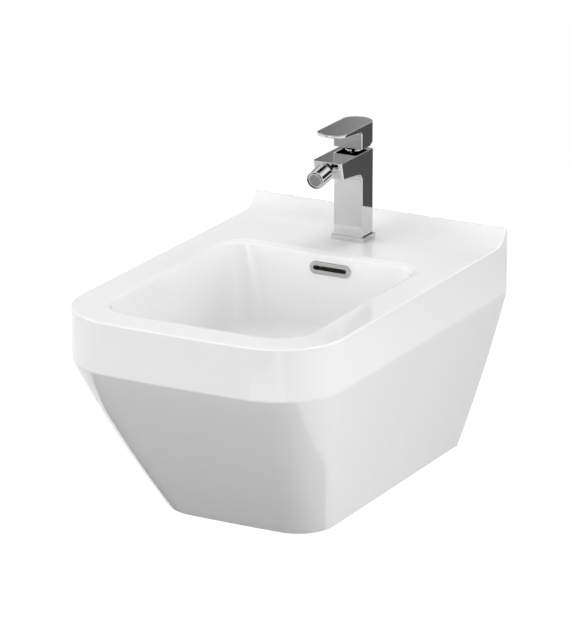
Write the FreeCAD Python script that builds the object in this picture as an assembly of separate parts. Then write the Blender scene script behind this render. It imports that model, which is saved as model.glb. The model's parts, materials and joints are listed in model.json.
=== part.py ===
import FreeCAD, Part
import math
import os

# Wall-hung bidet: hollow glazed ceramic body with a basin, a single-lever mixer with a swivelling spray,
# an overflow trim and a push-button waste. Millimetres, +Z up. The wall is the plane Y = 0, the front of
# the body points to -Y and +X is on the right of someone facing it. The origin is midway between the two
# wall fixing holes, on the wall.

V = FreeCAD.Vector
X_AXIS = V(1, 0, 0)
Y_AXIS = V(0, 1, 0)
Z_AXIS = V(0, 0, 1)
DOWN = V(0, 0, -1)

# Ceramic body
rim_height = 80.0  # rim plane above the fixing holes
body_width = 355.0
body_depth = 520.0
body_height = 279.0  # rim plane to underside
band_height = 64.0  # upright band below the rim
front_corner = 85.0  # plan radius of the front corners at the band
front_bow = 2300.0  # plan radius of the slightly bowed front
base_width = 222.0
base_depth = 380.0
base_corner = 49.0  # plan radius of the front corners at the underside
belly = 0.16  # share of the skirt's inset that comes late, which makes its sides convex
wall = 11.0
deck_thickness = 16.0
rear_wall = 16.0
lip_height = 19.0  # raised lip along the wall
lip_top = 3.0
lip_run = 31.0  # from the wall to where the lip's hollow sweep meets the deck
lip_root = 8.0  # depth of the lip's foot in the deck
lip_crest = 1.5  # radius along the lip's top
rim_edge = 2.0
band_edge = 6.0
base_edge = 3.0
opening_edge = 5.0

# Basin
opening_width = 267.0
front_rim = 46.0
rear_deck = 150.0  # wall to the basin's rear edge
opening_front_corner = 46.0
opening_back_corner = 34.0
basin_depth = 112.0
side_slope = 15.0  # degrees from upright
front_slope = 22.0
back_slope = 8.0
floor_corner = 44.0
floor_fillet = 26.0

# Wall fixings and the service window in the rear wall
fixing_spacing = 180.0
fixing_hole_r = 10.0
sleeve_bore_r = 6.75  # passes an M12 rod
sleeve_flange_r = 15.0
sleeve_flange = 3.0
window_width = 124.0
window_top = 45.0  # below the fixing holes
window_corner = 20.0

# Overflow trim and the channel behind it
overflow_x = 10.5  # the photo shows the trim a little right of the tap
overflow_drop = 18.0  # rim plane to the trim's middle, along the basin's rear wall
trim_length = 56.5
trim_height = 16.0
trim_proud = 2.0
trim_edge = 0.8
sleeve_length = 50.0
sleeve_height = 9.5
sleeve_depth = 13.0
slot_length = 46.0
slot_height = 5.5
channel_width = 54.0
channel_depth = 12.0
channel_height = 12.0
channel_wall = 8.0
channel_gap = 12.0  # ceramic between the basin and the channel at the trim

# Waste
waste_y = -262.0
waste_hole_r = 22.5
waste_boss = 14.0  # ceramic round the waste hole
flange_r = 32.0
flange_thickness = 3.0
flange_sink = 2.4  # depth of the flange's seat in the basin floor
flange_clear = 0.5
tube_r = 20.95  # G 1 1/4 thread
tube_wall = 3.4
tail_length = 36.0  # below the lock nut, relief and free thread together
relief_width = 2.0  # groove between the lock nut's thread and the tail's
relief_depth = 0.8
overflow_port_margin = 1.0  # port's edges inside the channel's height
waste_seal = 1.5
lower_seal = 4.0
lower_seal_r = 30.0
lock_nut_height = 9.0
lock_nut_flats = 56.0
bridge_height = 4.0
bridge_width = 5.0
bridge_drop = 18.0
bridge_arms = 3
bridge_turn = 30.0  # degrees, keeps the arms clear of the overflow ports
click_r = 6.0
plug_r = 27.0
plug_thickness = 5.0
plug_crown = 3.0
plug_travel = 8.0
plug_gap = 0.6  # plug clear of the flange when pressed down
plug_stem_r = 3.0
plug_hub_r = 9.0
plug_hub_height = 3.0
plug_seal_r = 16.0
slide_clear = 0.3  # gap between pieces that move past each other

# Mixer body; heights in this group are above the deck
tap_y = -72.5
column_width = 40.0
column_depth = 28.5
body_top = 115.5
spout_reach = 72.0  # mixer axis to the spout's top front edge
spout_face_height = 21.5
face_tilt = 15.0  # the spout's face looks this many degrees down
spout_fall = 6.2  # degrees, the underside drops towards the column
spout_root_fillet = 11.0
spout_corner = 4.0  # radius of the upright edges beside the spout's face
body_edge = 1.0
plate_width = 45.8
plate_depth = 34.0
plate_height = 6.6
plate_edge = 1.5
spigot_r = 13.0
gasket_depth = 0.8
gasket_width = 1.6
tap_hole_r = 15.0
stud_r = 4.0
stud_y = 8.0
stud_grip = 18.0  # thread inside the body
stud_length = 78.0
clamp_r = 20.0
clamp_cut = 13.0  # half width of the clamp's mouth for the hoses
clamp_cut_y = 2.0
clamp_gasket_height = 3.0
clamp_plate_height = 3.0
nut_flats = 13.0
nut_height = 6.5
inlet_r = 4.5  # M10 x 1
inlet_x = 6.4
inlet_y = -3.0
inlet_depth = 14.0
channel_r = 3.2

# Cartridge; heights are above the deck
cartridge_r = 12.0
cartridge_wall = 1.1
seat_z = 82.0
seal_height = 1.6
seal_pocket = 0.8
seal_r = 3.7
housing_floor = 3.0
housing_height = 26.0
disc_r = 10.4
fixed_disc_height = 3.0
disc_gap = 0.1
moving_disc_r = 7.8
moving_disc_height = 2.5
driver_r = 7.6
driver_height = 4.9
rotor_gap = 0.6
rotor_height = 10.0
rotor_slot_x = 4.3
rotor_slot_y = 6.5
pivot_z = 104.5
pin_r = 1.5
pin_length = 18.0
pin_clear = 0.08
arm_length = 10.0  # pivot to the drive ball
arm_r = 1.5
drive_ball_r = 1.8
drive_ball_clear = 0.5
stem_lean = 12.5  # degrees forward when the lever is down
stem_r = 3.2
eye_r = 4.0
eye_width = 8.0
stem_round = 18.0  # pivot to the start of the square
stem_square = 5.2
stem_length = 38.0
cartridge_nut_bore_r = 8.6
dome_r = 10.5
dome_top_r = 8.2
dome_height = 3.0
dome_bore_r = 6.9
outlet_r = 3.5
outlet_groove = 1.2
outlet_window_height = 4.4

# Handle; heights are above the deck
handle_bottom = 120.0
handle_top = 149.5
handle_width = 40.0
handle_front = 70.5  # mixer axis to the tip of the nose
handle_corner = 14.0  # plan radius of the nose's corners
handle_bow = 30.0  # plan radius of the nose's front
handle_rear = 12.0  # mixer axis to the end of the straight sides
handle_tail = 15.4  # how far the rounded rear stands past the straight sides
block_front = 15.5
lever_root = 7.6  # lever thickness at the block
lever_tip = 3.4
lever_fillet = 4.0
handle_edge = 1.0
heel_start = 5.3  # the heel is cut away from here so that the lever can lift
heel_slope = 31.0
pocket_r = 11.4
pocket_depth = 6.0
grub_z = 137.5
grub_r = 2.5
grub_key = 2.5  # hexagon socket, across its flats
grub_length = 9.0
cap_r = 3.0
cap_length = 3.0

# Spray: ball joint in the spout's face and the aerator on it
spray_drop = 10.0  # the spray points this many degrees down
ball_r = 7.6
ball_depth = 4.0  # ball centre behind the spout's face
ball_clear = 0.3
socket_r = 9.0
socket_depth = 12.1
ring_flange_r = 10.4
ring_proud = 1.2
ring_mouth_r = 7.0
ring_flare_r = 7.5
ball_seat_r = 6.75
ball_seat_front = 4.4  # seat's front face behind the ball centre
ball_seat_length = 2.4
neck_r = 5.0
ball_bore_r = 3.4
spray_r = 11.75
spray_length = 23.5
spray_end = 36.4  # ball centre to the spray's front face
spray_wall = 1.1
spray_back = 2.5
spray_edge = 0.7
insert_sink = 0.5
insert_length = 9.0
insert_bore_r = 7.2
collar_r = 9.1  # ring round the screen, inside the groove
groove_depth = 5.0
screen_r = 7.8
screen_height = 1.0
screen_sink = 0.6
mesh_hole_r = 0.45
mesh_pitch = 2.1
mesh_rings = 3
mesh_step = 6  # each ring of holes has this many more than the one inside it
washer_height = 1.6
washer_bore_r = 6.0

# Places worked out from the sizes above
near = 0.01  # an edge this close to a plane lies in it
rim_z = rim_height
band_z = rim_z - band_height
base_z = rim_z - body_height
floor_z = rim_z - basin_depth
flange_z = floor_z - flange_sink + waste_seal + flange_thickness  # top of the waste's flange
bowl_z = floor_z - wall
channel_z = bowl_z - channel_height - channel_wall  # underside of the ceramic round the waste
opening_back = -rear_deck
opening_front = -(body_depth - front_rim)
tap = V(0, tap_y, rim_z)
waste = V(0, waste_y, 0)


def box(x0, x1, y0, y1, z0, z1):
    """Box between two corners."""
    return Part.makeBox(x1 - x0, y1 - y0, z1 - z0, V(x0, y0, z0))


def rod(radius, start, direction, length):
    """Solid cylinder from a point along a direction."""
    return Part.makeCylinder(radius, length, start, direction)


def tube(outer, inner, start, direction, length):
    """Cylinder with a bore right through."""
    return rod(outer, start, direction, length).cut(rod(inner, start, direction, length))


def hexagon(flats, start, height):
    """Upright hexagonal prism, measured across its flats."""
    sides = 6
    corner = flats / math.sqrt(3)
    turns = [2 * math.pi * index / sides for index in range(sides)]
    corners = [start + V(corner * math.cos(turn), corner * math.sin(turn), 0) for turn in turns]
    face = Part.Face(Part.makePolygon(corners + corners[:1]))
    return face.extrude(V(0, 0, height))


def prism_yz(points, half_width):
    """Outline of (y, z) points, extruded both ways along X."""
    corners = [V(-half_width, y, z) for y, z in points]
    face = Part.Face(Part.makePolygon(corners + corners[:1]))
    return face.extrude(V(2 * half_width, 0, 0))


def stadium(length, height, start, depth):
    """Slot-shaped prism along local Z, long way on X."""
    reach = (length - height) / 2
    radius = height / 2
    top_right = V(reach, radius, start)
    top_left = V(-reach, radius, start)
    low_left = V(-reach, -radius, start)
    low_right = V(reach, -radius, start)
    outline = Part.Wire([
        Part.LineSegment(top_right, top_left).toShape(),
        Part.Arc(top_left, V(-length / 2, 0, start), low_left).toShape(),
        Part.LineSegment(low_left, low_right).toShape(),
        Part.Arc(low_right, V(length / 2, 0, start), top_right).toShape(),
    ])
    return Part.Face(outline).extrude(V(0, 0, depth))


def turned(profile, axis_point, axis):
    """Solid of revolution of a closed list of (radius, height) points, standing on an axis."""
    corners = [V(r, 0, h) for r, h in profile]
    face = Part.Face(Part.makePolygon(corners + corners[:1]))
    solid = face.revolve(V(0, 0, 0), Z_AXIS, 360)
    solid.Placement = FreeCAD.Placement(axis_point, FreeCAD.Rotation(Z_AXIS, axis))
    return solid


def at_tap(shape):
    """Moves a shape from the mixer's own frame, on its axis and deck, to the body's frame."""
    return shape.translated(tap)


def at_waste(shape):
    """Moves a shape from the waste's axis to the body's frame."""
    return shape.translated(waste)


def level_edges(shape, z, keep):
    """Edges that lie in the plane of one height and whose middle passes a test."""
    found = []
    for edge in shape.Edges:
        span = edge.BoundBox
        if abs(span.ZMin - z) < near and abs(span.ZMax - z) < near and keep(edge.CenterOfMass):
            found.append(edge)
    return found


def bowed_front(half_width, depth, corner, bow_r, z):
    """Points for the three arcs of a bowed front with round corners, from the right side to the left."""
    bow = V(0, bow_r - depth, z)
    centre_x = half_width - corner
    centre = V(centre_x, bow.y - math.sqrt((bow_r - corner) ** 2 - centre_x ** 2), z)
    out = (centre - bow).normalize()
    half_turn = (out + X_AXIS).normalize()
    right = [V(half_width, centre.y, z), centre + half_turn * corner, bow + out * bow_r]
    left = [V(-p.x, p.y, z) for p in reversed(right)]
    return right + [V(0, -depth, z)] + left


def front_edges(points):
    """Three arcs through the points of a bowed front, tangent to each other and to the sides."""
    starts = (0, 2, 4)
    return [Part.Arc(points[i], points[i + 1], points[i + 2]).toShape() for i in starts]


def plan_outline(half_width, depth, corner, back_y, z):
    """Plan of the body: straight back and sides, bowed front with round corners."""
    front = bowed_front(half_width, depth, corner, front_bow, z)
    back_right = V(half_width, back_y, z)
    back_left = V(-half_width, back_y, z)
    return Part.Wire([
        Part.LineSegment(back_right, front[0]).toShape(),
        *front_edges(front),
        Part.LineSegment(front[-1], back_left).toShape(),
        Part.LineSegment(back_left, back_right).toShape(),
    ])


def round_plan(half_width, front_y, back_y, front_r, back_r, z):
    """Rounded rectangle in plan, with its own radius for the front and the back corners."""
    diagonal = 1 - math.sqrt(0.5)
    edges = []
    corners = [(half_width, back_y, back_r, -1, -1), (half_width, front_y, front_r, -1, 1),
               (-half_width, front_y, front_r, 1, 1), (-half_width, back_y, back_r, 1, -1)]
    arcs = []
    for x, y, r, to_x, to_y in corners:
        along_x = V(x + to_x * r, y, z)
        along_y = V(x, y + to_y * r, z)
        middle = V(x + to_x * r * diagonal, y + to_y * r * diagonal, z)
        arcs.append((along_x, middle, along_y))
    order = [arcs[0], arcs[1][::-1], arcs[2], arcs[3][::-1]]
    for index, (first, middle, last) in enumerate(order):
        edges.append(Part.Arc(first, middle, last).toShape())
        edges.append(Part.LineSegment(last, order[(index + 1) % len(order)][0]).toShape())
    return Part.Wire(edges)


def skirt_outline(down, inset, back_y):
    """Plan of the body between the band (down = 0) and the underside (down = 1)."""
    grown = (1 - belly) * down + belly * down ** 2
    half_width = (body_width + grown * (base_width - body_width)) / 2 - inset
    depth = body_depth + grown * (base_depth - body_depth) - inset
    corner = front_corner + grown * (base_corner - front_corner) - inset
    return plan_outline(half_width, depth, corner, back_y, band_z - down * (body_height - band_height))


def body_block(inset, back_y, top_z):
    """Solid of the whole body, or of its hollow when inset: upright band over the sloping skirt."""
    stations = (0.0, 1 / 3, 2 / 3, 1.0)
    skirt = Part.makeLoft([skirt_outline(down, inset, back_y) for down in stations], True, False)
    band = Part.Face(skirt_outline(0.0, inset, back_y)).extrude(V(0, 0, top_z - band_z))
    return band.fuse(skirt).removeSplitter()


def basin_plan(z, grow):
    """Plan of the basin at one height, from the slopes of its walls."""
    drop = rim_z - z
    share = drop / basin_depth
    half_width = opening_width / 2 - drop * math.tan(math.radians(side_slope)) + grow
    front_y = opening_front + drop * math.tan(math.radians(front_slope)) - grow
    back_y = opening_back - drop * math.tan(math.radians(back_slope)) + grow
    front_r = opening_front_corner + share * (floor_corner - opening_front_corner)
    back_r = opening_back_corner + share * (floor_corner - opening_back_corner)
    return round_plan(half_width, front_y, back_y, front_r + grow, back_r + grow, z)


def basin_space():
    """Room inside the basin, with a round turn from its walls to its floor."""
    space = Part.makeLoft([basin_plan(rim_z, 0), basin_plan(floor_z, 0)], True, True)
    return space.makeFillet(floor_fillet, level_edges(space, floor_z, lambda middle: True))


def overflow_place(shape):
    """Puts a shape made on the XY plane on the basin's rear wall, Z out into the basin."""
    tilt = math.radians(back_slope)
    middle_y = opening_back - overflow_drop * math.sin(tilt)
    origin = V(overflow_x, middle_y, rim_z - overflow_drop * math.cos(tilt))
    shape.Placement = FreeCAD.Placement(origin, FreeCAD.Rotation(X_AXIS, 90 - back_slope))
    return shape


def channel_parts(grow):
    """Overflow channel behind the basin and under its floor to the waste, or its walls when grown."""
    left = overflow_x - channel_width / 2 - grow
    right = overflow_x + channel_width / 2 + grow
    front = opening_back + channel_gap
    back = front + channel_depth + grow
    top = rim_z - deck_thickness - channel_wall + grow
    low = bowl_z - channel_height
    upright = box(left, right, front - grow, back, low - grow, top)
    level = box(left, right, waste_y - grow, back, low - grow, low + channel_height)
    return upright.fuse(level)


def chamber():
    """Hollow behind and under the basin, open below."""
    hollow = body_block(wall, -rear_wall, rim_z - deck_thickness)
    bowl = Part.makeLoft([basin_plan(rim_z, wall), basin_plan(bowl_z, wall)], True, True)
    boss = rod(waste_hole_r + waste_boss, V(0, waste_y, channel_z), Z_AXIS, bowl_z - channel_z)
    return hollow.cut(bowl).cut(channel_parts(channel_wall)).cut(boss)


def lip():
    """Raised lip along the wall with a hollow sweep down to the deck."""
    run = lip_run - lip_top
    sweep_r = (run ** 2 + lip_height ** 2) / (2 * lip_height)
    foot = V(0, -lip_run, rim_z)
    crest = V(0, -lip_top, rim_z + lip_height)
    half_angle = math.atan2(run, sweep_r - lip_height) / 2
    middle = foot + V(0, sweep_r * math.sin(half_angle), sweep_r * (1 - math.cos(half_angle)))
    low_z = rim_z - lip_root
    corners = [crest, V(0, 0, rim_z + lip_height), V(0, 0, low_z), V(0, -lip_run, low_z), foot]
    edges = [Part.LineSegment(a, b).toShape() for a, b in zip(corners, corners[1:])]
    edges.append(Part.Arc(foot, middle, crest).toShape())
    side = Part.Face(Part.Wire(edges))
    return side.translated(V(-body_width / 2, 0, 0)).extrude(V(body_width, 0, 0))


def rear_window():
    """Service opening in the rear wall for the waste pipe and the supply valves."""
    high = -window_top
    half = window_width / 2
    window = box(-half, half, -2 * rear_wall, rear_wall, base_z - window_corner, high)
    upper = level_edges(window, high, lambda middle: abs(middle.x) > half / 2)
    return window.makeFillet(window_corner, upper)


def fixing_points():
    """Centres of the two wall fixing holes, on the wall."""
    return [V(side * fixing_spacing / 2, 0, 0) for side in (-1, 1)]


def on_opening(point):
    """Whether a point on the rim plane is on the basin's edge, not on the body's outer edge."""
    across = abs(point.x) < opening_width / 2 + near
    return across and opening_front - near < point.y < opening_back + near


def on_crest(point):
    """Whether a point on the lip's top is on its front edge."""
    return abs(point.x) < lip_top and point.y < -lip_top / 2


def rim_line(body):
    """Outer edge of the rim, from one end of the lip's crest round the front to the other end."""
    side = body_width / 2 - near
    front = -lip_run - near
    upper = [e for e in body.Edges if e.CenterOfMass.z > rim_z - near and e.BoundBox.YMin < -near]
    return [e for e in upper if abs(e.CenterOfMass.x) > side or e.CenterOfMass.y < front]


def ceramic_body():
    body = body_block(0, 0, rim_z)
    body = body.makeFillet(band_edge, level_edges(body, band_z, lambda middle: middle.y < -band_edge))
    body = body.makeFillet(base_edge, level_edges(body, base_z, lambda middle: middle.y < -base_edge))
    body = body.fuse(lip()).removeSplitter()
    body = body.makeFillet(lip_crest, level_edges(body, rim_z + lip_height, on_crest))
    body = body.makeFillet(rim_edge, rim_line(body))
    body = body.cut(basin_space())
    body = body.makeFillet(opening_edge, level_edges(body, rim_z, on_opening))
    body = body.cut(chamber())
    body = body.cut(rod(tap_hole_r, V(0, tap_y, rim_z - 2 * deck_thickness), Z_AXIS, 3 * deck_thickness))
    body = body.cut(rod(waste_hole_r, V(0, waste_y, channel_z - wall), Z_AXIS, basin_depth))
    flange_seat = V(0, waste_y, floor_z - flange_sink)
    body = body.cut(rod(flange_r + flange_clear, flange_seat, Z_AXIS, basin_depth / 2))
    body = body.cut(channel_parts(0))
    overflow_hole = stadium(sleeve_length, sleeve_height, -sleeve_depth - channel_gap, 3 * sleeve_depth)
    body = body.cut(overflow_place(overflow_hole))
    body = body.cut(rear_window())
    for point in fixing_points():
        body = body.cut(rod(fixing_hole_r, point, V(0, -1, 0), rear_wall))
    return body.removeSplitter()


def overflow_trim():
    ring = stadium(trim_length, trim_height, 0, trim_proud)
    ring = ring.makeFillet(trim_edge, level_edges(ring, trim_proud, lambda middle: True))
    sleeve = stadium(sleeve_length, sleeve_height, -sleeve_depth, sleeve_depth)
    slot = stadium(slot_length, slot_height, -2 * sleeve_depth, 3 * sleeve_depth)
    return overflow_place(ring.fuse(sleeve).cut(slot))


def fixing_sleeves():
    sleeves = []
    for point in fixing_points():
        body = rod(fixing_hole_r, point, V(0, -1, 0), rear_wall)
        flange = rod(sleeve_flange_r, point - Y_AXIS * rear_wall, V(0, -1, 0), sleeve_flange)
        bore = rod(sleeve_bore_r, point, V(0, -1, 0), rear_wall + sleeve_flange)
        sleeves.append(body.fuse(flange).cut(bore).removeSplitter())
    return Part.makeCompound(sleeves)


def face_frame():
    """Middle of the spout's face and its outward direction, in the mixer's frame."""
    tilt = math.radians(face_tilt)
    set_back = spout_face_height * math.tan(tilt)
    middle = V(0, -spout_reach + set_back / 2, body_top - spout_face_height / 2)
    return middle, V(0, -math.cos(tilt), -math.sin(tilt))


def ball_centre():
    """Centre of the spray's ball joint, in the mixer's frame."""
    middle, out = face_frame()
    return middle - out * ball_depth


def spray_direction():
    """Way the spray points at rest."""
    drop = math.radians(spray_drop)
    return V(0, -math.cos(drop), -math.sin(drop))


def mixer_body():
    half_depth = column_depth / 2
    chin = -spout_reach + spout_face_height * math.tan(math.radians(face_tilt))
    chin_z = body_top - spout_face_height
    root_z = chin_z - (-half_depth - chin) * math.tan(math.radians(spout_fall))
    side = [(half_depth, plate_height), (half_depth, body_top), (-spout_reach, body_top), (chin, chin_z),
            (-half_depth, root_z), (-half_depth, plate_height)]
    body = prism_yz(side, column_width / 2)
    root = level_edges(body, root_z, lambda middle: abs(middle.x) < body_edge)
    body = body.makeFillet(spout_root_fillet, root)
    side_x = column_width / 2 - body_edge
    face_sides = [e for e in body.Edges if abs(e.CenterOfMass.x) > side_x and e.CenterOfMass.y < chin]
    body = body.makeFillet(spout_corner, face_sides)
    above_foot = [e for e in body.Edges if e.BoundBox.ZMax > plate_height + body_edge]
    outer = [e for e in above_foot if abs(e.CenterOfMass.x) > side_x or e.CenterOfMass.z > chin_z - body_edge]
    sharp = [e for e in outer if e.CenterOfMass.y > chin + spout_corner or e.BoundBox.ZLength < spout_corner]
    body = body.makeFillet(body_edge, sharp)
    body = body.fuse(rod(spigot_r, V(0, 0, 0), Z_AXIS, plate_height))
    body = body.cut(rod(cartridge_r, V(0, 0, seat_z), Z_AXIS, body_top))
    body = body.cut(rod(cartridge_r + outlet_groove, V(0, 0, outlet_z()), Z_AXIS, outlet_window_height))
    for x in (-inlet_x, inlet_x):
        body = body.cut(rod(inlet_r, V(x, inlet_y, 0), Z_AXIS, inlet_depth))
        body = body.cut(rod(channel_r, V(x, inlet_y, 0), Z_AXIS, seat_z))
    body = body.cut(rod(stud_r, V(0, stud_y, 0), Z_AXIS, stud_grip))
    middle, out = face_frame()
    body = body.cut(rod(socket_r, middle + out * socket_depth, out * -1, socket_depth + ball_depth))
    body = body.cut(Part.makeSphere(ball_r + ball_clear, ball_centre()))
    body = body.cut(rod(ball_seat_r + ball_clear, middle, out * -1, socket_depth))
    groove = V(0, -cartridge_r, outlet_z() + outlet_window_height / 2)
    end = middle - out * socket_depth
    body = body.cut(rod(outlet_r, groove, end - groove, (end - groove).Length))
    return at_tap(body.removeSplitter())


def outlet_z():
    """Foot of the ring-shaped outlet groove round the cartridge."""
    return disc_top_z() + disc_gap


def disc_top_z():
    """Top of the fixed disc."""
    return seat_z + seal_pocket + housing_floor + fixed_disc_height


def base_plate():
    plate = box(-plate_width / 2, plate_width / 2, -plate_depth / 2, plate_depth / 2, 0, plate_height)
    plate = plate.makeFillet(plate_edge, [e for e in plate.Edges if e.BoundBox.ZMax > plate_edge])
    plate = plate.cut(rod(spigot_r, V(0, 0, 0), Z_AXIS, plate_height))
    return at_tap(plate.cut(gasket_ring()))


def gasket_ring():
    """Ring-shaped seat under the base plate, just outside the tap hole."""
    return tube(tap_hole_r + gasket_width, tap_hole_r, V(0, 0, 0), Z_AXIS, gasket_depth)


def base_gasket():
    return at_tap(gasket_ring())


def mounting_stud():
    return at_tap(rod(stud_r, V(0, stud_y, stud_grip), DOWN, stud_length))


def horseshoe(top, height):
    """Disc under the deck with a wide mouth for the hoses and a hole for the stud."""
    disc = rod(clamp_r, V(0, 0, top), DOWN, height)
    disc = disc.cut(box(-clamp_cut, clamp_cut, -clamp_r, clamp_cut_y, top - height, top))
    return disc.cut(rod(stud_r + slide_clear, V(0, stud_y, top), DOWN, height))


def clamp_gasket():
    return at_tap(horseshoe(-deck_thickness, clamp_gasket_height))


def clamp_plate():
    return at_tap(horseshoe(-deck_thickness - clamp_gasket_height, clamp_plate_height))


def clamp_nut():
    low = -deck_thickness - clamp_gasket_height - clamp_plate_height - nut_height
    nut = hexagon(nut_flats, V(0, stud_y, low), nut_height)
    return at_tap(nut.cut(rod(stud_r, V(0, stud_y, low), Z_AXIS, nut_height)))


def port_points():
    """Hot, cold and third foot of the cartridge."""
    return [V(-inlet_x, inlet_y, 0), V(inlet_x, inlet_y, 0), V(0, inlet_x, 0)]


def cartridge_housing():
    low = seat_z + seal_pocket
    top = low + housing_height
    body = rod(cartridge_r, V(0, 0, low), Z_AXIS, housing_height)
    body = body.cut(rod(cartridge_r - cartridge_wall, V(0, 0, low + housing_floor), Z_AXIS, top))
    for point in port_points():
        body = body.cut(rod(seal_r, point + V(0, 0, low), Z_AXIS, seal_height - seal_pocket))
        body = body.cut(rod(channel_r - cartridge_wall / 2, point + V(0, 0, low), Z_AXIS, housing_floor))
    half = inlet_x / 2
    window = box(-half, half, -2 * cartridge_r, 0, outlet_z(), outlet_z() + outlet_window_height)
    return at_tap(body.cut(window))


def cartridge_seals():
    rings = [tube(seal_r, channel_r - cartridge_wall / 2, point + V(0, 0, seat_z), Z_AXIS, seal_height)
             for point in port_points()]
    return at_tap(Part.makeCompound(rings))


def fixed_disc():
    low = disc_top_z() - fixed_disc_height
    disc = rod(disc_r, V(0, 0, low), Z_AXIS, fixed_disc_height)
    for point in port_points()[:2]:
        disc = disc.cut(rod(channel_r - cartridge_wall / 2, point + V(0, 0, low), Z_AXIS, fixed_disc_height))
    key = box(-channel_r, channel_r, disc_r - cartridge_wall, disc_r, low, disc_top_z())
    return at_tap(disc.cut(key))


def disc_shift():
    """How far back the moving disc stands while the lever is down."""
    return arm_length * math.sin(math.radians(stem_lean))


def driver_z():
    """Foot of the disc driver, on the moving disc."""
    return disc_top_z() + disc_gap + moving_disc_height


def moving_disc():
    low = disc_top_z() + disc_gap
    disc = rod(moving_disc_r, V(0, disc_shift(), low), Z_AXIS, moving_disc_height)
    pocket = rod(channel_r, V(0, disc_shift() - channel_r, low), Z_AXIS, moving_disc_height / 2)
    return at_tap(disc.cut(pocket))


def disc_driver():
    driver = rod(driver_r, V(0, disc_shift(), driver_z()), Z_AXIS, driver_height)
    hole = rod(drive_ball_r + drive_ball_clear, V(0, disc_shift(), driver_z()), Z_AXIS, driver_height)
    return at_tap(driver.cut(hole))


def cartridge_rotor():
    low = driver_z() + driver_height + rotor_gap
    body = rod(cartridge_r - cartridge_wall - slide_clear, V(0, 0, low), Z_AXIS, rotor_height)
    slot = box(-rotor_slot_x, rotor_slot_x, -rotor_slot_y, rotor_slot_y, low, low + rotor_height)
    pin_hole = rod(pin_r, V(-pin_length / 2, 0, pivot_z), X_AXIS, pin_length)
    return at_tap(body.cut(slot).cut(pin_hole))


def lever_pin():
    return at_tap(rod(pin_r, V(-pin_length / 2, 0, pivot_z), X_AXIS, pin_length))


def stem_axis():
    """Way the stem points up at rest: leaning forward."""
    lean = math.radians(stem_lean)
    return V(0, -math.sin(lean), math.cos(lean))


def stem_square_bar(side, start, length):
    """Square bar on the leaning stem axis, measured from the pivot."""
    bar = box(-side / 2, side / 2, -side / 2, side / 2, start, start + length)
    bar.Placement = FreeCAD.Placement(V(0, 0, pivot_z), FreeCAD.Rotation(X_AXIS, stem_lean))
    return bar


def cartridge_stem():
    pivot = V(0, 0, pivot_z)
    stem = rod(stem_r, pivot, stem_axis(), stem_round)
    stem = stem.fuse(stem_square_bar(stem_square, stem_round, stem_length - stem_round))
    stem = stem.fuse(rod(eye_r, pivot - X_AXIS * (eye_width / 2), X_AXIS, eye_width))
    stem = stem.fuse(rod(arm_r, pivot, stem_axis() * -1, arm_length))
    stem = stem.fuse(Part.makeSphere(drive_ball_r, pivot - stem_axis() * arm_length))
    return at_tap(stem.cut(rod(pin_r + pin_clear, pivot - X_AXIS * eye_width, X_AXIS, 2 * eye_width)))


def cartridge_nut():
    low = seat_z + seal_pocket + housing_height
    return at_tap(tube(cartridge_r, cartridge_nut_bore_r, V(0, 0, low), Z_AXIS, body_top - low))


def dome_ring():
    profile = [(dome_bore_r, 0), (dome_r, 0), (dome_r, dome_height / 3), (dome_top_r, dome_height),
               (dome_bore_r, dome_height)]
    return at_tap(turned(profile, V(0, 0, body_top), Z_AXIS))


def handle_plan(z):
    """Outline of the handle: straight sides, bowed nose with round corners, round tail."""
    half = handle_width / 2
    front = bowed_front(half, handle_front, handle_corner, handle_bow, z)
    rear_left = V(-half, handle_rear, z)
    rear_right = V(half, handle_rear, z)
    return Part.Wire([
        Part.LineSegment(rear_right, front[0]).toShape(),
        *front_edges(front),
        Part.LineSegment(front[-1], rear_left).toShape(),
        Part.Arc(rear_left, V(0, handle_rear + handle_tail, z), rear_right).toShape(),
    ])


def handle_block():
    """Lever and block in one, before the stem's socket is made."""
    nose = -handle_front
    tail = handle_rear + handle_tail
    below = handle_bottom - handle_width
    solid = Part.Face(handle_plan(handle_bottom)).extrude(V(0, 0, handle_top - handle_bottom))
    solid = solid.makeFillet(handle_edge, level_edges(solid, handle_top, lambda middle: True))
    under = [(-block_front, below), (-block_front, handle_top - lever_root), (nose, handle_top - lever_tip),
             (2 * nose, handle_top - lever_tip), (2 * nose, below)]
    under_lever = prism_yz(under, handle_width)
    root = [e for e in under_lever.Edges if e.CenterOfMass.distanceToPoint(V(0, *under[1])) < handle_edge]
    solid = solid.cut(under_lever.makeFillet(lever_fillet, root))
    side_x = handle_width / 2 - near
    front_sides = [e for e in solid.Edges if abs(e.CenterOfMass.x) > side_x
                   and abs(e.CenterOfMass.y + block_front) < near]
    solid = solid.makeFillet(handle_edge, front_sides)
    rise = (2 * tail - heel_start) * math.tan(math.radians(heel_slope))
    heel = [(heel_start, handle_bottom), (2 * tail, handle_bottom + rise), (2 * tail, below),
            (heel_start, below)]
    return solid.cut(prism_yz(heel, handle_width))


def grub_point():
    """Middle of the grub screw's tip, whose lower edge meets the stem's leaning square."""
    lean = math.radians(stem_lean)
    stem_y = -(grub_z - grub_r - pivot_z) * math.tan(lean)
    return V(0, stem_y + stem_square / 2 / math.cos(lean), grub_z)


def handle():
    solid = handle_block()
    solid = solid.cut(rod(pocket_r, V(0, 0, handle_bottom - pocket_depth), Z_AXIS, 2 * pocket_depth))
    solid = solid.cut(stem_square_bar(stem_square, stem_round / 2, stem_length - stem_round / 2))
    tail = handle_rear + handle_tail
    solid = solid.cut(rod(grub_r, grub_point() - Y_AXIS * (stem_square / 2), Y_AXIS, 2 * tail))
    seat = V(0, tail - cap_length, grub_z)
    return at_tap(solid.cut(rod(cap_r, seat, Y_AXIS, tail)))


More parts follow.
